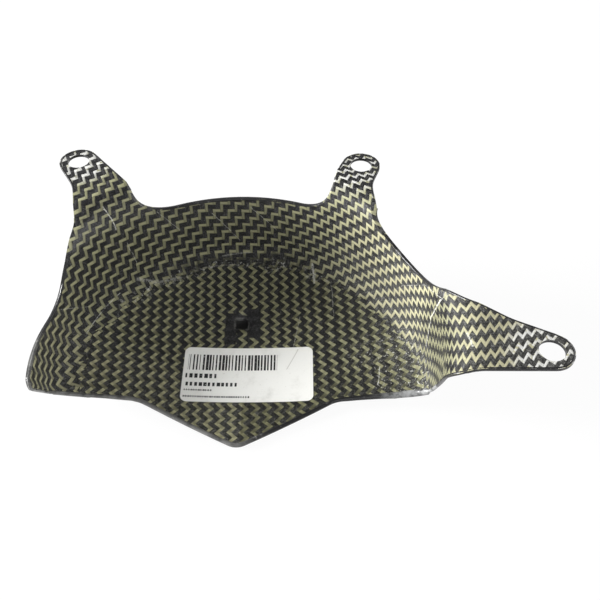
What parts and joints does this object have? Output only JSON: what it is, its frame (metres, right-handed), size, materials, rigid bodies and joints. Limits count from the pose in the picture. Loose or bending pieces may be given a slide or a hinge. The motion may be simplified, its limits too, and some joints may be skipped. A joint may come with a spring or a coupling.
{
  "type": "motorcycle clutch cover",
  "caption": "Thin moulded laminate cover shaped like a half-open drum with a domed face, flared lugs and a side wing, bolted over a motorcycle clutch housing to shield it",
  "frame": {"origin": "On the drum's axis, at the lowest point of its domed outer face.", "axes": "+X runs along the longest side to the wing, +Y to the two upper lugs, +Z along the drum's and bolts' axes to the engine side."},
  "size_m": [0.1829, 0.111, 0.0492],
  "materials": {
    "laminate": "gloss clear-coated carbon and aramid twill",
    "paper": "satin"
  },
  "bodies": {
    "root": {"clutch_cover": "laminate", "paper_label": "paper"}
  },
  "joints": []
}
